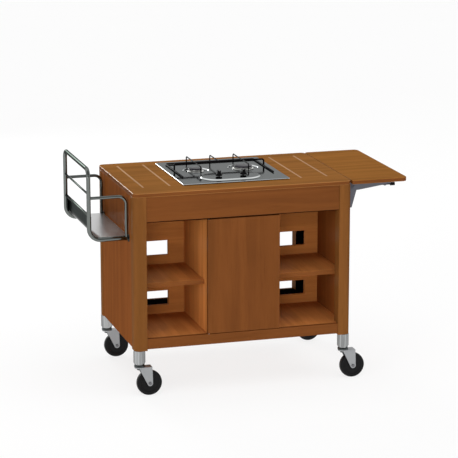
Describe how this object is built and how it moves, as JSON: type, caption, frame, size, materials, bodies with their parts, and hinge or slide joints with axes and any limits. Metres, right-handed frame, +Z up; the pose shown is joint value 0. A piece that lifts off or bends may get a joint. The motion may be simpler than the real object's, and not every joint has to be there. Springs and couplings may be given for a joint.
{
  "type": "flambe cart",
  "caption": "Wooden service trolley with a gas hob, pan grate, open niches, centre door, side bottle rack, folding leaf and swivel casters",
  "frame": {"origin": "on the floor, under the middle of the object's bounding box", "axes": "+X towards the drop leaf, +Y towards the rear, +Z up"},
  "size_m": [1.268, 0.5858, 0.895],
  "materials": {
    "top_wood": "lacquered",
    "panel_wood": "lacquered",
    "door_wood": "lacquered",
    "leg_wood": "lacquered",
    "pale_inlay": "lacquered",
    "black_laminate": "glossy",
    "hob_steel": "polished",
    "burner_alloy": "satin",
    "burner_cap": "enamelled",
    "brass": "plain",
    "zinc": "zinc plated",
    "rack_chrome": "polished",
    "tray_steel": "polished",
    "bracket_steel": "zinc plated",
    "socket_chrome": "satin",
    "race_steel": "zinc plated",
    "black_plastic": "moulded",
    "grate_wire": "enamelled",
    "fork_zinc": "zinc plated",
    "wheel_rubber": "matt"
  },
  "bodies": {
    "cart": {"worktop": "top_wood", "inlay_strips": "pale_inlay", "leg_front_left": "leg_wood", "leg_front_right": "leg_wood", "leg_rear_left": "leg_wood", "leg_rear_right": "leg_wood", "side_left": "panel_wood", "side_right": "panel_wood", "front_apron": "panel_wood", "rear_apron": "panel_wood", "front_rail": "panel_wood", "rear_rail": "panel_wood", "bottom_panel": "panel_wood", "divider_left": "panel_wood", "divider_right": "panel_wood", "partition_left": "panel_wood", "partition_right": "panel_wood", "shelf_left": "panel_wood", "shelf_right": "panel_wood", "back_panel": "panel_wood", "bay_liners": "black_laminate", "hob_plate": "hob_steel", "hob_casing": "hob_steel", "burner_rings": "burner_alloy", "burner_caps": "burner_cap", "gas_valves": "brass", "gas_pipes": "brass", "gas_inlet": "brass", "hob_clamps": "zinc", "rack_frame": "rack_chrome", "rack_rails": "rack_chrome", "rack_tray": "tray_steel", "rack_rosettes": "rack_chrome", "wall_brackets": "bracket_steel", "carcass_fittings": "zinc", "caster_sockets": "socket_chrome", "caster_races": "race_steel"},
    "door": {"door": "door_wood", "door_fittings": "zinc"},
    "leaf": {"leaf": "top_wood", "leaf_arms": "bracket_steel"},
    "release_front": {"latch_front": "black_plastic"},
    "release_rear": {"latch_rear": "black_plastic"},
    "grate": {"pan_grate": "grate_wire"},
    "tap_left": {"spindle_left": "zinc"},
    "tap_right": {"spindle_right": "zinc"},
    "dial_left": {"knob_left": "black_plastic"},
    "dial_right": {"knob_right": "black_plastic"},
    "caster_front_left": {"fork_front_left": "fork_zinc", "axle_front_left": "zinc"},
    "roller_front_left": {"wheel_front_left": "wheel_rubber"},
    "caster_front_right": {"fork_front_right": "fork_zinc", "axle_front_right": "zinc"},
    "roller_front_right": {"wheel_front_right": "wheel_rubber"},
    "caster_rear_left": {"fork_rear_left": "fork_zinc", "axle_rear_left": "zinc"},
    "roller_rear_left": {"wheel_rear_left": "wheel_rubber"},
    "caster_rear_right": {"fork_rear_right": "fork_zinc", "axle_rear_right": "zinc"},
    "roller_rear_right": {"wheel_rear_right": "wheel_rubber"}
  },
  "joints": [
    {"name": "door_swing", "type": "hinge", "parent": "cart", "child": "door", "pos_m": [-0.1745, -0.283, 0.457], "axis": [0, 0, -1], "range_deg": [0, 105]},
    {"name": "leaf_fold", "type": "hinge", "parent": "cart", "child": "leaf", "pos_m": [0.4215, 0, 0.772], "axis": [0, 1, 0], "range_deg": [0, 90]},
    {"name": "release_front_slide", "type": "slide", "parent": "leaf", "child": "release_front", "axis": [1, 0, 0], "range_m": [0, 0.01]},
    {"name": "release_rear_slide", "type": "slide", "parent": "leaf", "child": "release_rear", "axis": [1, 0, 0], "range_m": [0, 0.01]},
    {"name": "grate_lift", "type": "slide", "parent": "cart", "child": "grate", "axis": [0, 0, 1], "range_m": [0, 0.08]},
    {"name": "tap_left_push", "type": "slide", "parent": "cart", "child": "tap_left", "axis": [0, 0, -1], "range_m": [0, 0.003], "stiffness_N_per_m": 1500},
    {"name": "tap_left_turn", "type": "hinge", "parent": "tap_left", "child": "dial_left", "pos_m": [-0.0845, -0.114, 0.812], "axis": [0, 0, 1], "range_deg": [0, 180]},
    {"name": "tap_right_push", "type": "slide", "parent": "cart", "child": "tap_right", "axis": [0, 0, -1], "range_m": [0, 0.003], "stiffness_N_per_m": 1500},
    {"name": "tap_right_turn", "type": "hinge", "parent": "tap_right", "child": "dial_right", "pos_m": [0.0155, -0.114, 0.812], "axis": [0, 0, 1], "range_deg": [0, 180]},
    {"name": "swivel_front_left", "type": "hinge", "parent": "cart", "child": "caster_front_left", "pos_m": [-0.45, -0.27, 0.125], "axis": [0, 0, 1], "continuous": true},
    {"name": "roll_front_left", "type": "hinge", "parent": "caster_front_left", "child": "roller_front_left", "pos_m": [-0.412, -0.27, 0.05], "axis": [0, 1, 0], "continuous": true},
    {"name": "swivel_front_right", "type": "hinge", "parent": "cart", "child": "caster_front_right", "pos_m": [0.381, -0.27, 0.125], "axis": [0, 0, 1], "continuous": true},
    {"name": "roll_front_right", "type": "hinge", "parent": "caster_front_right", "child": "roller_front_right", "pos_m": [0.419, -0.27, 0.05], "axis": [0, 1, 0], "continuous": true},
    {"name": "swivel_rear_left", "type": "hinge", "parent": "cart", "child": "caster_rear_left", "pos_m": [-0.45, 0.27, 0.125], "axis": [0, 0, 1], "continuous": true},
    {"name": "roll_rear_left", "type": "hinge", "parent": "caster_rear_left", "child": "roller_rear_left", "pos_m": [-0.412, 0.27, 0.05], "axis": [0, 1, 0], "continuous": true},
    {"name": "swivel_rear_right", "type": "hinge", "parent": "cart", "child": "caster_rear_right", "pos_m": [0.381, 0.27, 0.125], "axis": [0, 0, 1], "continuous": true},
    {"name": "roll_rear_right", "type": "hinge", "parent": "caster_rear_right", "child": "roller_rear_right", "pos_m": [0.419, 0.27, 0.05], "axis": [0, 1, 0], "continuous": true}
  ]
}
